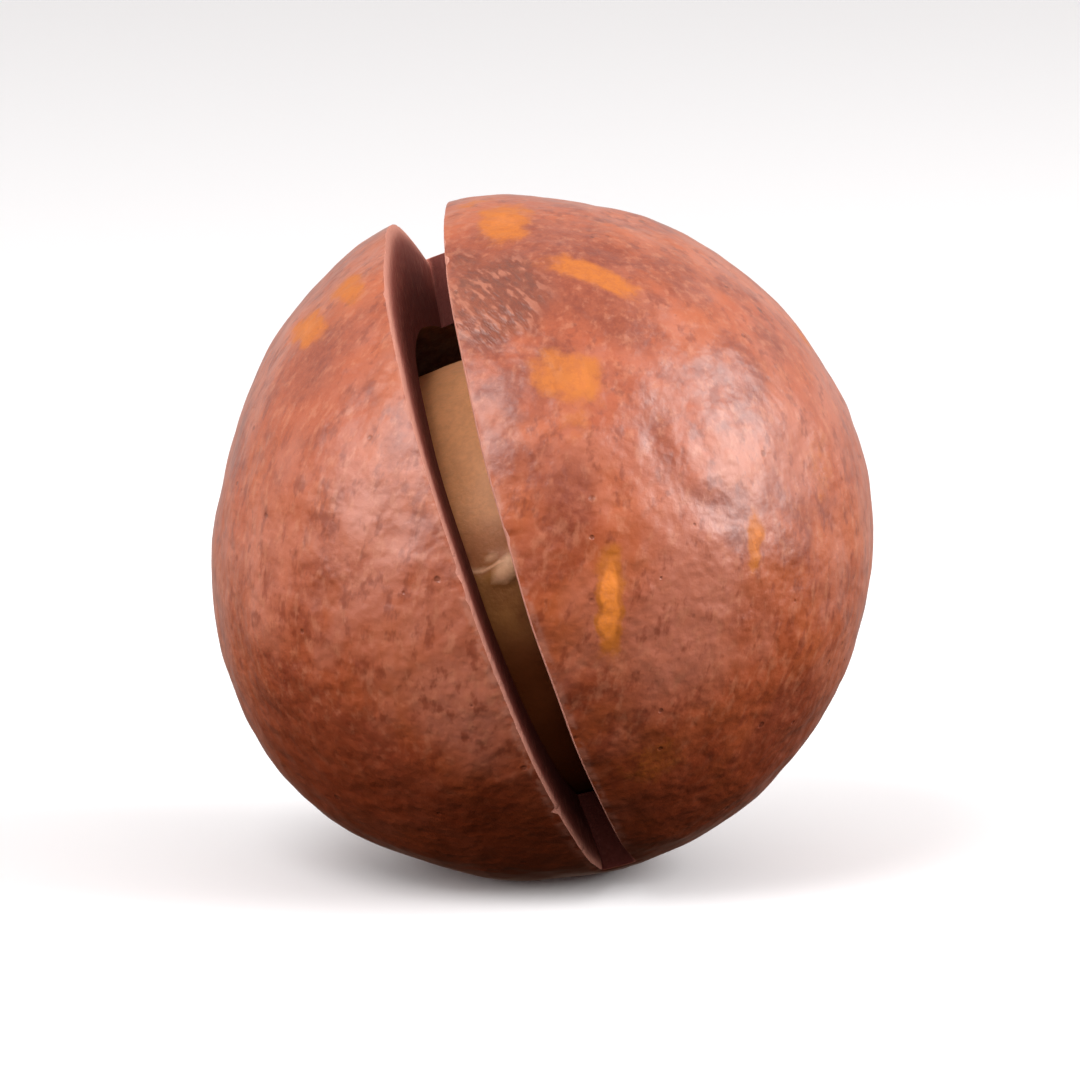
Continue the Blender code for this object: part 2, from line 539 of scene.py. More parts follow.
    def from_rim(self, points: Array, depth: float) -> Array:
        """Gives the distance from the cut's rim along the surface.

        Across the cut it is what the height over the cut's plane has over half the kerf,
        and along it what the angle has over the cut's end, times the radius. The two are
        added as the sides of a right angle.

        Args:
            points: Places from the nut's centre.
            depth: 0 for the skin and 1 for the lining.

        Returns:
            One distance for each place, 0 on the rim.
        """
        x, y, z = np.moveaxis(points @ self.cut.axes().T, -1, 0)
        reach = np.hypot(x, y)
        back, front = self.cut.ends(depth)
        middle, half = (back + front) / 2, (front - back) / 2
        turn = np.abs((np.arctan2(y, x) - middle + np.pi) % (2 * np.pi) - np.pi)
        past = np.clip(turn - half, 0, None) * reach
        opening = self.cut.kerf + self.cut.sprung * np.cos(turn)
        side = np.clip(np.abs(z - self.cut.offset) - opening / 2, 0, None)
        return np.hypot(past, side)

    def dents(self, directions: Array) -> Array:
        """Gives the shallow hammered dents of the skin.

        Each dent is minus its depth times e to the power of minus half the squared
        distance over its size, and they are added.

        Args:
            directions: Unit vectors from the nut's centre.

        Returns:
            The height of the skin, zero or below, in metres.
        """
        draw = np.random.default_rng(self.dent_seed)
        middles = unit(draw.normal(size=(self.dent_count, 3)))
        sizes = draw.uniform(0.35, 1.1, self.dent_count) * MM / self.form.radius
        depths = draw.uniform(0.008, 0.040, self.dent_count) * MM
        height = np.zeros(len(directions))
        for start in range(0, self.dent_count, 65):
            some = slice(start, start + 65)
            away = 2 - 2 * directions @ middles[some].T
            height -= (depths[some] * np.exp(-away / (2 * sizes[some] ** 2))).sum(-1)
        return height

    def from_scar(self, points: Array) -> Array:
        """Gives the distance from the middle of the stalk's scar along the skin."""
        level = unit(points) @ unit(self.scar_towards)
        return self.form.radius * np.arccos(np.clip(level, -1, 1))

    def relief(self, points: Array) -> Array:
        """Gives the height of everything that stands over or under the skin's form.

        Soft lumps of three sizes, the hammered dents, the ring round the pore, the broad
        disc of the stalk's scar and the lip that the saw's chips rounded are added.

        Args:
            points: Places on the smooth skin, from the nut's centre.

        Returns:
            The height over the smooth skin, in metres.
        """
        directions = unit(points)
        height = np.zeros(len(points))
        for seed, (rise, length) in enumerate(self.lumps, start=3):
            height += rise * soft_noise(points, length, seed)
        height += self.dents(directions)
        pore = self.form.radius * np.arccos(
            np.clip(directions @ unit(self.form.swells[5].towards), -1, 1)
        )
        ring = np.exp(-(((pore - self.pore_ring) / (0.22 * MM)) ** 2))
        height += self.pore_lift * ring
        height -= self.pore_lift * np.exp(-((pore / (0.3 * MM)) ** 2))
        scar = self.from_scar(points)
        lower = ramp((directions - unit(self.scar_towards)) @ self.scar_lean, 0.03, 0.18)
        trough = np.exp(-(((scar - self.scar_ring) / (0.65 * MM)) ** 2))
        height -= self.scar_depth * trough * (0.08 + 0.92 * lower)
        height += 0.012 * MM * np.cos(scar / (0.45 * MM)) * np.exp(-scar / (2.8 * MM))
        rim = self.from_rim(points, 0)
        height -= self.rim_drop * np.exp(-rim / (0.12 * MM))
        return height

    def raised(self, depth: float, half_rows: int) -> Layer:
        """Lays a layer with the skin's relief and the flat spot that the nut rests on.

        The relief fades inwards with the fourth power of one minus the depth.

        Args:
            depth: 0 for the skin and 1 for the lining.
            half_rows: The number of rows from each pole to its lip.

        Returns:
            The layer, with its points from the nut's centre.
        """
        smooth = self.layer(depth, half_rows)
        points = smooth.points.reshape(-1, 3)
        height = self.relief(points) * (1 - depth) ** 4
        points = points + unit(points) * height[:, None]
        points[:, 2] = np.maximum(points[:, 2], -self.form.centre[2])
        return Layer(
            points.reshape(smooth.points.shape), smooth.left_lip, smooth.right_lip
        )

    def rim(self, layer: Layer) -> tuple[Array, Array]:
        """Walks round the cut's rim in one layer.

        Args:
            layer: A layer of the wall.

        Returns:
            The row and the column of each point of the rim: forwards along the left lip,
            across the front end, back along the right lip and across the back end.
        """
        along = np.arange(self.open_columns)
        across = np.arange(self.kerf_rows)
        rows = [
            np.full_like(along, layer.left_lip),
            layer.left_lip + across,
            np.full_like(along, layer.right_lip),
            layer.right_lip - across,
        ]
        columns = [
            along,
            np.full_like(across, self.open_columns),
            self.open_columns - along,
            np.zeros_like(across),
        ]
        return np.concatenate(rows), np.concatenate(columns)

    def sheet_faces(self, layer: Layer, start: int, inwards: bool) -> Array:
        """Joins the points of a layer into faces, leaving the cut open.

        Args:
            layer: The layer.
            start: The number of its first point in the whole mesh.
            inwards: True for the lining, whose faces look into the hollow.

        Returns:
            Four corners a face, in an order that makes it face outwards.
        """
        rows, columns = layer.points.shape[:2]
        hole = np.zeros((rows - 1, columns), bool)
        hole[layer.left_lip : layer.right_lip, : self.open_columns] = True
        return grid_faces(hole, start, inwards)

    def draft(self) -> MeshDraft:
        """Puts the skin, the walls of the cut and the lining together.

        Returns:
            The closed surface, in world coordinates, with its masks.
        """
        skin = self.raised(0, self.skin_rows)
        lining = self.layer(1, self.lining_rows)
        between = [self.raised(depth, 1) for depth in self.depths[1:-1]]
        rims = [layer.points[self.rim(layer)] for layer in between]
        skin_points = skin.points.reshape(-1, 3)
        lining_points = lining.points.reshape(-1, 3)
        points = np.concatenate([skin_points, lining_points, *rims])
        around = 2 * (self.open_columns + self.kerf_rows)
        lining_start = len(skin_points)
        first_rim = lining_start + len(lining_points)
        skin_rim = np.ravel_multi_index(self.rim(skin), skin.points.shape[:2])
        lining_rim = lining_start + np.ravel_multi_index(
            self.rim(lining), lining.points.shape[:2]
        )
        loops = [skin_rim]
        for i in range(len(rims)):
            loops.append(first_rim + i * around + np.arange(around))
        loops.append(lining_rim)
        walls = []
        for outer, inner in zip(loops, loops[1:]):
            ahead, inner_ahead = np.roll(outer, -1), np.roll(inner, -1)
            walls.append(np.stack([outer, ahead, inner_ahead, inner], -1))
        sheets = [
            self.sheet_faces(skin, 0, inwards=False),
            np.concatenate(walls),
            self.sheet_faces(lining, lining_start, inwards=True),
        ]
        slots = np.repeat([s.value for s in Surface], [len(sheet) for sheet in sheets])
        masks = self.masks(points, len(skin_points), first_rim, around)
        return MeshDraft(
            points + self.form.centre, np.concatenate(sheets), slots, masks
        )

    def all_scuffs(self) -> list[Scuff]:
        """Draws the stray scuffs, none of which lies on the front.

        Returns:
            The scuffs of the front, then the small stray ones over the rest.
        """
        draw = np.random.default_rng(19)
        scuffs = list(self.scuffs)
        while len(scuffs) < len(self.scuffs) + self.stray_scuffs:
            towards = unit(draw.normal(size=3))
            length, width = draw.uniform(0.8, 3.2), draw.uniform(0.4, 1.5)
            lean, strength = draw.uniform(-50, 50), draw.uniform(0.4, 1)
            if towards[1] > -0.1:
                scuffs.append(
                    Scuff(tuple(towards), length * MM, width * MM, lean, strength)
                )
        return scuffs

    def masks(
        self, points: Array, skin_count: int, first_rim: int, around: int
    ) -> dict[str, Array]:
        """Works out what the finishes need to know about each point.

        Args:
            points: All points from the nut's centre.
            skin_count: How many of them, from the first, are the skin's.
            first_rim: The number of the first point inside the cut's walls.
            around: How many points go once round the cut's rim.

        Returns:
            scuff, rim, depth, rough, scar, stain, low and tone by name.
            Low is painted shade towards the bottom. Painted_light_and_stain runs from -1 to
            1:
            painted highlight and sheen above 0, painted shade and stains below. Scuff may
            pass
            1. The rest lie from 0 to 1.
        """
        skin = points[:skin_count]
        wobble = np.stack([soft_noise(skin, 0.9 * MM, seed) for seed in (51, 52, 53)], -1)
        scuff = np.zeros(len(points))
        for patch in self.all_scuffs():
            worn = patch.mask(skin + self.scuff_wobble * wobble)
            scuff[:skin_count] = np.maximum(scuff[:skin_count], worn)
        rim = np.exp(-((self.from_rim(points, 0) / self.rim_width) ** 4))
        rim[skin_count:] = 0
        depth = np.ones(len(points))
        depth[:skin_count] = 0
        at_end = np.arange(around) % (around // 2) >= self.open_columns
        depth[first_rim:] = np.maximum.outer(self.depths[1:-1], at_end).ravel()
        directions = unit(points)
        away = 1 - directions @ unit(self.rough_towards)
        away /= math.radians(self.rough_spread) ** 2
        away = away + 0.12 * soft_noise(points, 1.6 * MM, seed=64)
        rough = ramp(away, 0.95, 0.25)
        # The scar mask follows the trough of the scar's ring; the skin darkens along it as
        # painted shade.
        scar = np.exp(-(((self.from_scar(points) - self.scar_ring) / (0.5 * MM)) ** 2))
        scar *= np.clip(0.65 + 0.35 * soft_noise(points, 2.4 * MM, seed=63), 0, 1)
        stain = 0.5 + 0.22 * soft_noise(points, 9 * MM, seed=61)
        stain += 0.1 * soft_noise(points, 3.5 * MM, seed=62)
        # Painted highlights, sheen and shade, with a few real stains, laid by direction.
        tone = sum(tone.at(directions) for tone in self.painted_light_and_stains)
        # Painted shade: the skin darkens towards the bottom, less so under the painted
        # light.
        low = ramp(directions[:, 2], -0.12, -0.80) * np.clip(1 - tone, 0, 1)
        return {
            "scuff": scuff,
            "rim": rim,
            "depth": depth,
            "rough": rough,
            "scar": scar,
            "stain": np.clip(stain, 0, 1),
            "low": low,
            "tone": tone,
        }

    def build(self, finishes: list[Material]) -> bpy.types.Object:
        """Makes the shell and puts it in the place of the frame's own.

        Args:
            finishes: The materials of the skin, the sawn faces and the lining.

        Returns:
            The finished piece.
        """
        piece = self.draft().build("shell_grown", finishes)
        piece.data.set_sharp_from_angle(angle=math.radians(50))
        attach(piece, "root")
        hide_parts("shell")
        return piece


@dataclass
class Kernel:
    """The loose kernel: a slightly flat ball with a blunt tip, browned on its lower half."""

    form: NutForm = NutForm()
    columns: int = 180
    rows: int = 110
    skin_axis: Triple = (-0.20, 0.15, 0.97)
    flake_towards: Triple = (-0.136, -0.972, 0.183)
    flake_size: float = 0.56 * MM
    flake_lift: float = 0.22 * MM

    def relief(self, directions: Array) -> Array:
        """Gives the kernel's low relief.

        Soft lumps of two sizes, a shallow furrow down from the tip, a step where the
        brown skin of the lower half ends, and one lifted flake of that skin are added.

        Args:
            directions: Unit vectors from the kernel's centre.

        Returns:
            The height over the smooth kernel, in metres.
        """
        points = directions * self.form.kernel_across
        height = 0.07 * MM * soft_noise(points, 7 * MM, seed=71)
        height += 0.02 * MM * soft_noise(points, 2.2 * MM, seed=72)
        axis = unit(self.form.kernel_tip.towards)
        side = unit(np.cross(axis, (0.3, -1, 0)))
        furrow = np.exp(-((directions @ side / 0.06) ** 2)) * ramp(
            directions @ axis, 0.1, 0.9
        )
        height -= 0.10 * MM * furrow
        height += 0.06 * MM * ramp(self.brown(directions), 0.2, 0.4)
        return height + self.flake_lift * self.flake(directions)

    def flake(self, directions: Array) -> Array:
        """Gives where the lifted flake is.

        Args:
            directions: Unit vectors from the kernel's centre.

        Returns:
            One value for each direction: 1 on the flake and 0 past its ragged edge.
        """
        away = np.linalg.norm(directions - unit(self.flake_towards), axis=-1)
        away = away * self.form.kernel_across / self.flake_size
        ragged = 0.18 * soft_noise(directions * self.form.kernel_across, 0.7 * MM, seed=83)
        return ramp(away + ragged, 1.1, 0.9)

    def brown(self, directions: Array) -> Array:
        """Gives how brown the kernel is: 0 on its upper part and 1 at its lower end.

        Half of it comes at the skin's edge, which lies across the skin's axis near the
        middle of the kernel, moved by noise of two sizes. The rest comes slowly below.

        Args:
            directions: Unit vectors from the kernel's centre.

        Returns:
            One value for each direction, from 0 to 1.
        """
        points = directions * self.form.kernel_across
        level = directions @ unit(self.skin_axis)
        level = level + 0.025 * soft_noise(points, 5 * MM, seed=81)
        level = level + 0.010 * soft_noise(points, 1.3 * MM, seed=82)
        return 0.5 * ramp(level, 0.10, 0.04) + 0.5 * ramp(level, 0.06, -0.45)

    def draft(self) -> MeshDraft:
        """Lays the kernel's grid of rows and columns and closes it at both poles.

        Returns:
            The closed surface, in world coordinates, with its masks.
        """
        turn = np.arange(self.columns) * 2 * np.pi / self.columns
        latitude = np.linspace(-np.pi / 2, np.pi / 2, self.rows + 1)[:, None]
        flat = np.cos(latitude)
        upright = np.broadcast_to(np.sin(latitude), (self.rows + 1, self.columns))
        grid = np.stack([flat * np.cos(turn), flat * np.sin(turn), upright], -1)
        directions = grid.reshape(-1, 3)
        reach = self.form.kernel(directions) + self.relief(directions)
        points = directions * reach[:, None] + self.form.kernel_centre
        faces = grid_faces(np.zeros((self.rows, self.columns), bool))
        masks = {
            "brown": self.brown(directions),
            "flake": self.flake(directions),
            "toast": ramp(directions @ unit(self.skin_axis), 0.36, 0.16),
        }
        return MeshDraft(points, faces, np.zeros(len(faces)), masks)

    def build(self, finish: Material) -> bpy.types.Object:
        """Makes the kernel and puts it in the place of the frame's own.

        Args:
            finish: The kernel's material.

        Returns:
            The finished piece.
        """
        piece = self.draft().build("kernel_whole", [finish])
        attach(piece, "root")
        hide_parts("kernel")
        return piece


@dataclass
class Bench:
    """Adds nodes to one node tree, each with its values and links in one call."""

    tree: bpy.types.NodeTree

    def add(self, kind: str, **settings: object) -> bpy.types.Node:
        """Adds a node.

        Args:
            kind: Blender's name for the kind of node.
            **settings: The node's properties by name.

        Returns:
            The new node.
        """
        node = self.tree.nodes.new(kind)
        for name, value in settings.items():
            setattr(node, name, value)
        return node

    def feed(self, socket: Socket, value: Feed) -> None:
        """Gives a socket its value.

        Args:
            socket: The input.
            value: Another node's output, which is linked to it, a colour or a number.
        """
        if isinstance(value, Socket):
            self.tree.links.new(value, socket)
        elif isinstance(value, tuple) and len(socket.default_value) == 4:
            socket.default_value = (*value, 1)
        else:
            socket.default_value = value

    def wire(self, node: bpy.types.Node, values: dict[str, Feed]) -> None:
        """Gives a node's inputs their values by name."""
        for name, value in values.items():
            self.feed(node.inputs[name], value)

    def calc(self, operation: str, *values: Feed) -> Socket:
        """Adds a Math node.

        Args:
            operation: Blender's name for what it does.
            *values: Its inputs, in order.

        Returns:
            The result.
        """
        node = self.add("ShaderNodeMath", operation=operation)
        for socket, value in zip(node.inputs, values):
            self.feed(socket, value)
        return node.outputs[0]

    def times(self, first: Feed, second: Feed, plus: Feed = 0.0) -> Socket:
        """Multiplies two values and adds a third."""
        return self.calc("MULTIPLY_ADD", first, second, plus)

    def paint(self, colour: Feed, *coats: tuple[Feed, Feed]) -> Feed:
        """Lays coats over a colour.

        Args:
            colour: The colour underneath.
            *coats: How much of each coat is there, from 0 to 1, and its colour.

        Returns:
            The colour with every coat mixed in by its share, in order.
        """
        for share, coat in coats:
            node = self.add("ShaderNodeMix", data_type="RGBA")
            for number, value in ((0, share), (6, colour), (7, coat)):
                self.feed(node.inputs[number], value)
            colour = node.outputs[2]
        return colour

    def between(
        self, value: Feed, low: Feed, high: Feed, first: Feed = 0.0, last: Feed = 1.0
    ) -> Socket:
        """Carries a value smoothly from one range to another.

        Args:
            value: What is carried over.
            low: The value that gives first, as do all beyond it.
            high: The value that gives last, as do all beyond it.
            first: The result at low.
            last: The result at high.

        Returns:
            The result, which runs from first to last in a soft S.
        """
        node = self.add("ShaderNodeMapRange", interpolation_type="SMOOTHSTEP")
        for socket, number in zip(node.inputs, (value, low, high, first, last)):
            self.feed(socket, number)
        return node.outputs[0]

    def stretch(self, vector: Feed, scale: Colour, turn: Colour = (0, 0, 0)) -> Feed:
        """Draws out the pattern that reads a vector.

        Args:
            vector: The vector.
            scale: How many times as long the pattern gets along each axis.
            turn: How many degrees the axes are turned by.

        Returns:
            The vector for the pattern.
        """
        node = self.add("ShaderNodeMapping", vector_type="TEXTURE")
        self.feed(node.inputs["Vector"], vector)
        node.inputs["Rotation"].default_value = tuple(math.radians(t) for t in turn)
        node.inputs["Scale"].default_value = scale
        return node.outputs[0]

    def noise(
        self, vector: Feed, size: float, detail: float = 3, rough: float = 0.55
    ) -> Socket:
        """Adds noise.

        Args:
            vector: Where it is read.
            size: How large its lumps are, in metres.
            detail: How many times finer noise is laid over it.
            rough: How strong each finer noise is, as a share of the one before.

        Returns:
            The noise, mostly between 0.3 and 0.7.
        """
        node = self.add("ShaderNodeTexNoise")
        values = {"Vector": vector, "Scale": 1 / size, "Detail": detail}
        self.wire(node, values | {"Roughness": rough})
        return node.outputs[0]

    def mask(self, name: str) -> Socket:
        """Reads one of the mesh's own masks."""
        return self.add("ShaderNodeAttribute", attribute_name=name).outputs["Fac"]

    def place(self) -> Socket:
        """Gives the object coordinates."""
        return self.add("ShaderNodeTexCoord").outputs["Object"]

    def bump(
        self, height: Feed, distance: float, under: Feed | None = None
    ) -> Socket:
        """Adds a bump.

        Args:
            height: How high the surface stands.
            distance: What a height of one is, in metres.
            under: The normal that the bump comes over, if there is one.

        Returns:
            The new normal.
        """
        node = self.add("ShaderNodeBump")
        self.wire(node, {"Distance": distance, "Height": height})
        if under is not None:
            self.feed(node.inputs["Normal"], under)
        return node.outputs[0]

    def group(
        self, effect: bpy.types.NodeTree, values: dict[str, Feed]
    ) -> dict[str, Socket]:
        """Places a shared effect.

        Args:
            effect: The node group.
            values: Its inputs' values by name.

        Returns:
            Its outputs by name.
        """
        node = self.add("ShaderNodeGroup", node_tree=effect)
        self.wire(node, values)
        return {output.name: output for output in node.outputs}


def new_material(name: str) -> tuple[Material, Bench, bpy.types.Node]:
    """Makes a material.

    Args:
        name: Its name.

    Returns:
        The material, a bench for its nodes and its Principled shader.
    """
    material = bpy.data.materials.new(name)
    material.use_nodes = True
    shader = material.node_tree.nodes["Principled BSDF"]
    return material, Bench(material.node_tree), shader


class Effects:
    """The effects that more than one finish uses, each as one node group."""

    def __init__(self) -> None:
        """Builds each effect once."""
        self.grain = self.make_grain()
        self.pits = self.make_pits()

    def grain_on(
        self, bench: Bench, place: Feed, size: float
    ) -> dict[str, Socket]:
        """Places the grain, with lumps of a size in metres, and gives its outputs."""
        return bench.group(self.grain, {"Vector": place, "Scale": 1 / size})

    @staticmethod
    def new_group(
        name: str, numbers: list[str], outputs: list[str]
    ) -> tuple[Bench, dict[str, Socket], bpy.types.Node]:
        """Makes an empty node group, which has the input Vector and others.

        Args:
            name: The group's name.
            numbers: The names of its other inputs, all of them numbers.
            outputs: The names of its outputs, all of them numbers.

        Returns:
            Its bench, its inputs' sockets by name and its output node.
        """
        tree = bpy.data.node_groups.new(name, "ShaderNodeTree")
        sockets = [("Vector", "INPUT", "NodeSocketVector")]
        sockets += [(label, "INPUT", "NodeSocketFloat") for label in numbers]
        sockets += [(label, "OUTPUT", "NodeSocketFloat") for label in outputs]
        for label, way, kind in sockets:
            tree.interface.new_socket(label, in_out=way, socket_type=kind)
        bench = Bench(tree)
        given = bench.add("NodeGroupInput").outputs
        return bench, {s.name: s for s in given}, bench.add("NodeGroupOutput")

    def make_grain(self) -> bpy.types.NodeTree:
        """Makes the fine grain: noise of one size, and noise of a quarter of it.

        Returns:
            A group with the inputs Vector and Scale and the outputs Speckle and Height.
        """
        bench, given, out = self.new_group("nut_grain", ["Scale"], ["Speckle", "Height"])
        coarse = bench.noise(given["Vector"], 1, detail=3, rough=0.6)
        bench.feed(coarse.node.inputs["Scale"], given["Scale"])
        fine = bench.noise(given["Vector"], 1, detail=2, rough=0.6)
        bench.feed(fine.node.inputs["Scale"], bench.times(given["Scale"], 4.0))
        both = bench.times(fine, 0.35, coarse)
        bench.wire(out, {"Speckle": bench.between(both, 0.42, 0.95), "Height": both})
        return bench.tree

    def make_pits(self) -> bpy.types.NodeTree:
        """Makes scattered small pits: the middles of some Voronoi cells.

        Returns:
            A group with the inputs Vector, Scale and Share and the output Pit.
        """
        bench, given, out = self.new_group("nut_pits", ["Scale", "Share"], ["Pit"])
        cells = bench.add("ShaderNodeTexVoronoi")
        bench.wire(cells, {"Vector": given["Vector"], "Scale": given["Scale"]})
        chance = bench.add("ShaderNodeSeparateColor")
        bench.feed(chance.inputs[0], cells.outputs["Color"])
        chosen = bench.calc("LESS_THAN", chance.outputs[0], given["Share"])
        width = bench.times(chance.outputs[1], 0.22, 0.08)
        share = bench.calc("DIVIDE", cells.outputs["Distance"], width)
        deep = bench.between(share, 0.4, 1.0, 1.0, 0.0)
        bench.feed(out.inputs["Pit"], bench.times(deep, chosen))
        return bench.tree


@dataclass(frozen=True)
class SkinFinish:
    """The shell's outside: hard and a little oily, red-brown, mottled and scuffed.

    Its colour also holds painted sheen, highlights and shade in places.
    """

    ground: Colour = (0.42, 0.081, 0.024)
    dark: Colour = (0.23, 0.037, 0.013)
    light: Colour = (0.52, 0.135, 0.055)
    amber: Colour = (0.50, 0.110, 0.030)
    fleck: Colour = (0.64, 0.24, 0.13)
    # Dusty pink-brown: laid at random by the cloud, and as painted sheen and highlights by
    # the painted light patches.
    dust_and_sheen: Colour = (0.54, 0.175, 0.108)
    # Painted shade low on the nut.
    under: Colour = (0.24, 0.033, 0.007)
    worn: Colour = (0.56, 0.152, 0.017)
    bare: Colour = (0.88, 0.255, 0.032)
    pit: Colour = (0.085, 0.018, 0.009)
    # The lip's pale line: partly the chipped edge's own colour, partly a painted highlight.
    rim: Colour = (0.57, 0.24, 0.165)
    # The rough place's own darker skin, also used as painted shade in the wrinkles' dips.
    weathered_and_dip_shade: Colour = (0.18, 0.055, 0.035)
    # Painted highlight on the wrinkles' ridges.
    ridge_highlight_colour: Colour = (0.50, 0.175, 0.105)
    gloss: float = 0.42
    coat: float = 0.50
    coat_gloss: float = 0.32

    def material(self, effects: Effects) -> Material:
        """Makes the material.

        Args:
            effects: The shared effects.

        Returns:
            The material of the shell's first slot.
        """
        material, bench, shader = new_material("shell_skin")
        place = bench.place()
        grain = effects.grain_on(bench, place, 0.42 * MM)
        broad = bench.noise(place, 1.7 * MM, detail=4, rough=0.65)
        blotch = bench.times(bench.mask("stain"), 0.35, broad)
        zones = bench.noise(place, 4 * MM, detail=3)
        cloud = bench.noise(bench.stretch(place, (1, 1, 1.6), (0, 25, 0)), 2.4 * MM)
        # Painted light: the patches, broken up by noise, paint sheen and highlights with the
        # dust colour and shade with the dark one.
        tone = bench.times(broad, 0.6, bench.mask("tone"))
        # Painted shade: darker towards the bottom of the skin.
        low = bench.times(bench.mask("low"), 0.75)
        colour = bench.paint(
            self.dark,
            (bench.between(blotch, 0.44, 0.80), self.ground),
            (bench.between(zones, 0.46, 0.62, 0.0, 0.8), self.amber),
            (bench.between(cloud, 0.46, 0.68, 0.0, 0.55), self.dust_and_sheen),
            # Painted highlight and sheen, then painted shade, from the painted light
            # patches.
            (bench.between(tone, 0.35, 1.0, 0.0, 0.8), self.dust_and_sheen),
            (bench.between(tone, 0.2, -0.3, 0.0, 0.8), self.dark),
            # Painted shade in the trough round the stalk's scar.
            (bench.times(bench.mask("scar"), 0.5), self.dark),
            (bench.times(grain["Speckle"], 0.34), self.light),
            # Painted shade low on the nut.
            (low, self.under),
        )
        strokes = bench.stretch(place, (1, 1, 2), (0, 12, 0))
        fleck = bench.noise(strokes, 0.40 * MM, detail=3, rough=0.6)
        pale = bench.between(fleck, 0.50, 0.70, 0.0, 0.34)
        # The pale flecks fade in the painted shade low down.
        pale = bench.times(pale, bench.between(low, 0.0, 0.75, 1.0, 0.15))
        freckle = bench.noise(strokes, 0.60 * MM, detail=3, rough=0.65)
        folds = self.wrinkles(bench, place)
        rough = bench.mask("rough")
        # Painted shade in the wrinkles' dips and painted highlight on their ridges,
        # following the bumped folds.
        dip_shade = bench.times(bench.between(folds, 0.47, 0.36, 0.0, 0.6), rough)
        ridge_highlight = bench.times(bench.between(folds, 0.51, 0.64, 0.0, 0.7), rough)
        edge = bench.noise(place, 0.55 * MM, detail=5, rough=0.7)
        scuff = bench.between(bench.times(edge, 0.9, bench.mask("scuff")), 0.62, 1.22)
        patchy = bench.between(grain["Height"], 0.45, 0.8, 0.75, 1.0)
        bare = bench.between(bench.mask("scuff"), 0.85, 1.3)
        sizes = {"Vector": place, "Scale": 1 / (0.62 * MM), "Share": 0.06}
        pits = bench.group(effects.pits, sizes)["Pit"]
        dots = bench.between(bench.noise(place, 0.5 * MM, detail=3), 0.40, 0.58, 0.0, 0.48)
        colour = bench.paint(
            colour,
            (pale, self.fleck),
            (bench.between(freckle, 0.48, 0.32, 0.0, 0.60), self.dark),
            (bench.times(rough, 0.60), self.weathered_and_dip_shade),
            (dip_shade, self.weathered_and_dip_shade),
            (ridge_highlight, self.ridge_highlight_colour),
            (bench.times(scuff, patchy), bench.paint(self.worn, (bare, self.bare))),
            (bench.times(pits, 0.45), self.pit),
            # Pale lip line: partly the edge's own colour, partly a painted highlight.
            (bench.times(bench.mask("rim"), dots), self.rim),
        )
        dull = bench.calc("MAXIMUM", bench.calc("MAXIMUM", rough, bench.mask("rim")), scuff)
        gloss = bench.times(broad, 0.22, self.gloss - 0.11)
        looks = {
            "Base Color": colour,
            "Roughness": bench.times(scuff, 0.12, gloss),
            "Coat Weight": bench.times(bench.between(dull, 0.0, 1.0, 1.0, 0.2), self.coat),
            "Coat Roughness": self.coat_gloss,
            "Normal": self.normal(bench, place, grain, pits, scuff),
        }
        bench.wire(shader, looks)
        return material

    def wrinkles(self, bench: Bench, place: Feed) -> Socket:
        """Adds the fine slanting wrinkles of the rough place beside the cut."""
        slanting = bench.stretch(place, (1, 1, 2.8), (-43, -51, 0))
        return bench.noise(slanting, 0.25 * MM, detail=2, rough=0.5)

    def normal(
        self,
        bench: Bench,
        place: Feed,
        grain: dict[str, Socket],
        pits: Feed,
        scuff: Feed,
    ) -> Socket:
        """Adds the fine relief: orange peel, knobs, grain, wrinkles, pits and worn places.

        Args:
            bench: The bench of the material's nodes.
            place: The object coordinates.
            grain: The grain's outputs by name.
            pits: How deep the pits are, from 0 to 1.
            scuff: How worn the skin is, from 0 to 1.

        Returns:
            The normal for the shader.
        """
        peel = bench.noise(place, 1.1 * MM, detail=2, rough=0.5)
        normal = bench.bump(peel, 0.17 * MM)
        knobs = bench.noise(place, 0.5 * MM, detail=1, rough=0.5)
        normal = bench.bump(knobs, 0.045 * MM, normal)
        normal = bench.bump(grain["Height"], 0.016 * MM, normal)
        folds = bench.times(self.wrinkles(bench, place), bench.mask("rough"))
        normal = bench.bump(folds, 0.11 * MM, normal)
        sunk = bench.times(scuff, 0.25, pits)
        return bench.bump(bench.times(sunk, -1.0), 0.03 * MM, normal)


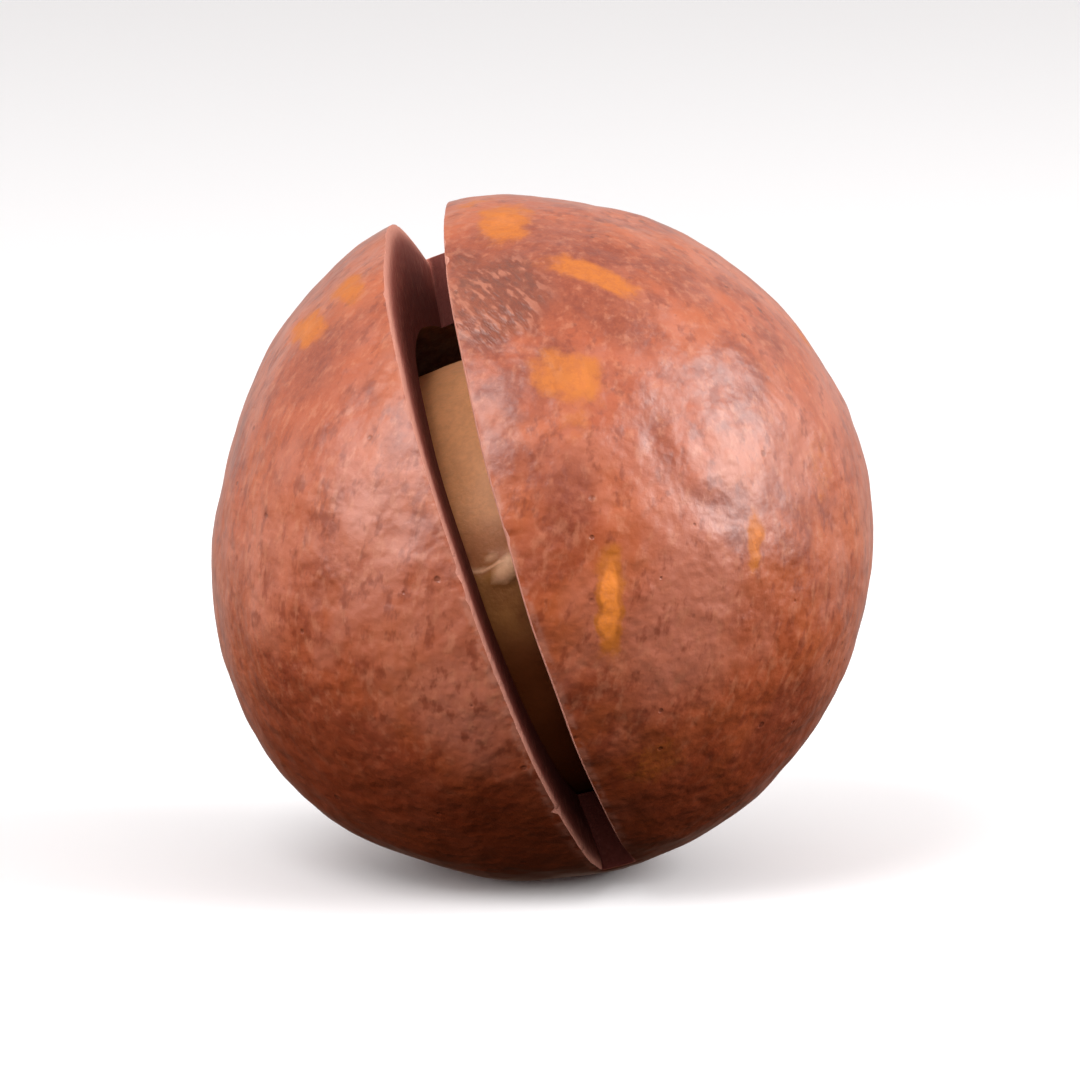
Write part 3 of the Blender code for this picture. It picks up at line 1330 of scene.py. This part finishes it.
@dataclass(frozen=True)
class SawnFinish:
    """The faces that the saw left: woody, with the blade's marks, and darker deeper in the
    cut, partly their own colour and partly painted shade.
    """

    # Darker with depth into the cut: partly the wood's own colour, partly painted shade.
    deep: Colour = (0.15, 0.034, 0.026)
    middle: Colour = (0.38, 0.115, 0.088)
    edge: Colour = (0.66, 0.29, 0.215)
    gloss: float = 0.78

    def material(self, effects: Effects) -> Material:
        """Makes the material.

        Args:
            effects: The shared effects.

        Returns:
            The material of the shell's second slot.
        """
        material, bench, shader = new_material("shell_sawn")
        place = bench.place()
        depth = bench.mask("depth")
        grain = effects.grain_on(bench, place, 0.35 * MM)
        marks = bench.stretch(place, (1, 8, 1), turn=(37, 0, 0))
        blade = bench.noise(marks, 0.16 * MM, detail=2, rough=0.5)
        fading = bench.between(depth, 0.3, 1.0, 1.0, 0.2)
        marked = bench.between(blade, 0.5, 0.72, 0.0, 0.35)
        marked = bench.calc("MAXIMUM", marked, bench.times(grain["Speckle"], 0.15))
        colour = bench.paint(
            self.edge,
            # Partly painted shade: the face darkens from the lip into the cut.
            (bench.between(depth, 0.03, 0.22), self.middle),
            (bench.between(depth, 0.15, 0.7), self.deep),
            (bench.times(marked, fading), self.edge),
        )
        looks = {
            "Base Color": colour,
            "Roughness": self.gloss,
            "Specular IOR Level": 0.2,
            "Normal": bench.bump(grain["Height"], 0.04 * MM, bench.bump(blade, 0.07 * MM)),
        }
        bench.wire(shader, looks)
        return material


@dataclass(frozen=True)
class LiningFinish:
    """The hollow's wall: smooth, dark brown, with a cream-white part round one end."""

    brown: Colour = (0.16, 0.055, 0.025)
    cream: Colour = (0.80, 0.66, 0.50)
    gloss: float = 0.35

    def material(self, effects: Effects, form: NutForm) -> Material:
        """Makes the material.

        Args:
            effects: The shared effects.
            form: The nut's form, for the height at which the cream part ends.

        Returns:
            The material of the shell's third slot.
        """
        material, bench, shader = new_material("shell_lining")
        place = bench.place()
        grain = effects.grain_on(bench, place, 0.6 * MM)
        parts = bench.add("ShaderNodeSeparateXYZ")
        bench.feed(parts.inputs[0], place)
        moved = bench.times(bench.noise(place, 4 * MM, detail=4), 6 * MM, parts.outputs["Z"])
        low = form.centre[2] - 2 * MM
        colour = bench.paint(
            self.brown,
            (bench.between(moved, low, low + 0.6 * MM, 1.0, 0.0), self.cream),
            (bench.times(grain["Speckle"], 0.2), self.cream),
        )
        normal = bench.bump(grain["Height"], 0.03 * MM)
        looks = {"Base Color": colour, "Roughness": self.gloss, "Normal": normal}
        bench.wire(shader, looks)
        return material


@dataclass(frozen=True)
class KernelFinish:
    """The kernel: roasted cream above, brown below, near black at its lower end, which is
    partly painted shade; with a waxy gleam.
    """

    cream: Colour = (0.93, 0.39, 0.155)
    torn: Colour = (1.0, 0.53, 0.29)
    toasted: Colour = (0.58, 0.20, 0.075)
    gold: Colour = (0.66, 0.28, 0.08)
    # Near black: partly the kernel's own roast, partly painted shade at its lower end.
    roast_and_shade: Colour = (0.19, 0.046, 0.010)
    gloss: float = 0.55

    def material(self, effects: Effects) -> Material:
        """Makes the material.

        Args:
            effects: The shared effects.

        Returns:
            The kernel's material.
        """
        material, bench, shader = new_material("kernel_roasted")
        place = bench.place()
        brown = bench.mask("brown")
        grain = effects.grain_on(bench, place, 0.5 * MM)
        blush = bench.noise(place, 3 * MM, detail=4, rough=0.6)
        # The pale line along the step where the brown skin ends: the torn skin's colour,
        # partly a painted highlight on the step's edge.
        ledge = bench.times(
            bench.between(brown, 0.30, 0.16), bench.between(brown, 0.02, 0.12)
        )
        colour = bench.paint(
            self.cream,
            (bench.times(bench.mask("toast"), bench.between(blush, 0.3, 0.6)), self.toasted),
            (bench.between(brown, 0.2, 0.5), self.gold),
            # Partly painted shade: the kernel goes near black towards its lower end.
            (bench.between(brown, 0.45, 1.0), self.roast_and_shade),
            (bench.times(bench.between(blush, 0.45, 0.7), brown), self.roast_and_shade),
            (bench.times(grain["Speckle"], 0.18), self.roast_and_shade),
            (bench.calc("MAXIMUM", bench.mask("flake"), ledge), self.torn),
        )
        normal = bench.bump(grain["Height"], 0.04 * MM)
        looks = {"Base Color": colour, "Roughness": self.gloss, "Normal": normal}
        bench.wire(shader, looks)
        return material


@dataclass(frozen=True)
class Softbox:
    """A round soft light that looks at the nut."""

    name: str
    towards: Triple
    distance: float
    size: float
    power: float
    gleams: bool = True
    brightens: bool = True

    def place(self, middle: Array) -> bpy.types.Object:
        """Makes the light.

        Args:
            middle: What it looks at.

        Returns:
            The light. The camera doesn't see it, and its own fields say whether it shows
            in reflections and whether it brightens what it falls on.
        """
        data = bpy.data.lights.new(self.name, "AREA")
        data.shape = "DISK"
        data.size = self.size
        data.energy = self.power
        lamp = bpy.data.objects.new(self.name, data)
        away = unit(self.towards) * self.distance
        lamp.location = middle + away
        lamp.rotation_euler = Vector(-away).to_track_quat("-Z", "Y").to_euler()
        lamp.visible_camera = False
        lamp.visible_glossy = self.gleams
        lamp.visible_diffuse = self.brightens
        bpy.context.scene.collection.objects.link(lamp)
        return lamp


@dataclass(frozen=True)
class Studio:
    """The pale floor, the soft light and the camera."""

    middle: Triple = (0, 0, 12.3 * MM)
    elevation: float = math.radians(10)
    lens: float = 400
    sensor: float = 36
    field: float = 40 * MM
    floor_size: float = 6
    floor_tone: Colour = (0.97, 0.96, 0.97)
    world_tone: Colour = (1, 0.985, 0.975)
    world_power: float = 0.61
    backdrop: float = 0.92
    ground_power: float = 0.025
    ground_tone: Colour = (1, 0.5, 0.3)
    lean: float = math.radians(22)
    dome: tuple[float, float] = (-0.25, 0.35)
    boxes: tuple[Softbox, ...] = (
        Softbox("key", (0.87, -0.16, 0.46), 0.30, 0.20, 0.72),
        Softbox("key_wide", (0.90, -0.16, 0.41), 0.34, 0.48, 0.40),
        Softbox("fill", (-0.82, -0.42, 0.38), 0.30, 0.26, 0.42, gleams=False),
        Softbox("sheen", (-0.70, -0.46, 0.51), 0.30, 0.22, 0.44, brightens=False),
        Softbox("fill_low", (-0.92, -0.38, 0.05), 0.30, 0.26, 0.25, gleams=False),
        Softbox("front", (-0.38, -0.50, 0.78), 0.36, 0.20, 0.52),
        Softbox("low_front", (0.02, -0.98, 0.17), 0.36, 0.12, 0.11, gleams=False),
    )

    def floor(self) -> bpy.types.Object:
        """Lays the floor, which isn't part of the nut.

        Returns:
            The floor, which neither tints the nut nor shows in its gloss.
        """
        half = self.floor_size / 2
        corners = [(-half, -half, 0), (half, -half, 0), (half, half, 0), (-half, half, 0)]
        mesh = bpy.data.meshes.new("floor")
        mesh.from_pydata(corners, [], [(0, 1, 2, 3)])
        material, _, shader = new_material("floor_pale")
        shader.inputs["Base Color"].default_value = (*self.floor_tone, 1)
        shader.inputs["Roughness"].default_value = 0.8
        shader.inputs["Specular IOR Level"].default_value = 0.2
        mesh.materials.append(material)
        floor = bpy.data.objects.new("floor", mesh)
        floor.visible_diffuse = False
        floor.visible_glossy = False
        bpy.context.scene.collection.objects.link(floor)
        return floor

    def light(self) -> None:
        """Sets the surroundings and the softboxes.

        The surroundings are a white dome that leans back, away from the camera, over dim
        ground. Their power rises with the height over the dome's own leaning rim.
        """
        world = bpy.data.worlds.new("surroundings")
        world.use_nodes = True
        bench = Bench(world.node_tree)
        parts = bench.add("ShaderNodeSeparateXYZ")
        towards = bench.add("ShaderNodeTexCoord").outputs["Generated"]
        bench.feed(parts.inputs[0], towards)
        upright = bench.times(parts.outputs["Z"], math.cos(self.lean))
        height = bench.times(parts.outputs["Y"], math.sin(self.lean), upright)
        power = bench.between(height, *self.dome, self.ground_power, self.world_power)
        share = bench.between(height, *self.dome)
        seen = bench.add("ShaderNodeLightPath").outputs["Is Camera Ray"]
        looks = {
            "Color": bench.paint(self.ground_tone, (share, self.world_tone)),
            "Strength": bench.between(seen, 0.0, 1.0, power, self.backdrop),
        }
        bench.wire(world.node_tree.nodes["Background"], looks)
        bpy.context.scene.world = world
        bpy.context.scene.view_settings.view_transform = "Standard"
        for box in self.boxes:
            box.place(np.array(self.middle))

    def camera(self) -> bpy.types.Object:
        """Sets the camera in front of the nut and a little above it, with a long lens.

        The distance is the lens times the width of the field over the sensor's width.

        Returns:
            The scene's camera.
        """
        data = bpy.data.cameras.new("camera")
        data.lens = self.lens
        data.sensor_width = self.sensor
        data.clip_end = 50
        camera = bpy.data.objects.new("camera", data)
        distance = self.lens * self.field / self.sensor
        back = Vector((0, -math.cos(self.elevation), math.sin(self.elevation)))
        camera.location = Vector(self.middle) + back * distance
        camera.rotation_euler = (-back).to_track_quat("-Z", "Y").to_euler()
        bpy.context.scene.collection.objects.link(camera)
        bpy.context.scene.camera = camera
        return camera


def main() -> None:
    """Builds the nut, lights it, and writes how large it is."""
    logging.basicConfig(level=logging.INFO, format="%(name)s: %(message)s")
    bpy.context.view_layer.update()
    effects = Effects()
    shell = Shell()
    finishes = [
        SkinFinish().material(effects),
        SawnFinish().material(effects),
        LiningFinish().material(effects, shell.form),
    ]
    pieces = [shell.build(finishes), Kernel().build(KernelFinish().material(effects))]
    for piece in pieces:
        triangles = sum(len(polygon.vertices) - 2 for polygon in piece.data.polygons)
        LOG.info("%s: %d triangles", piece.name, triangles)
    studio = Studio()
    studio.floor()
    studio.light()
    studio.camera()


if __name__ == "__main__":
    main()
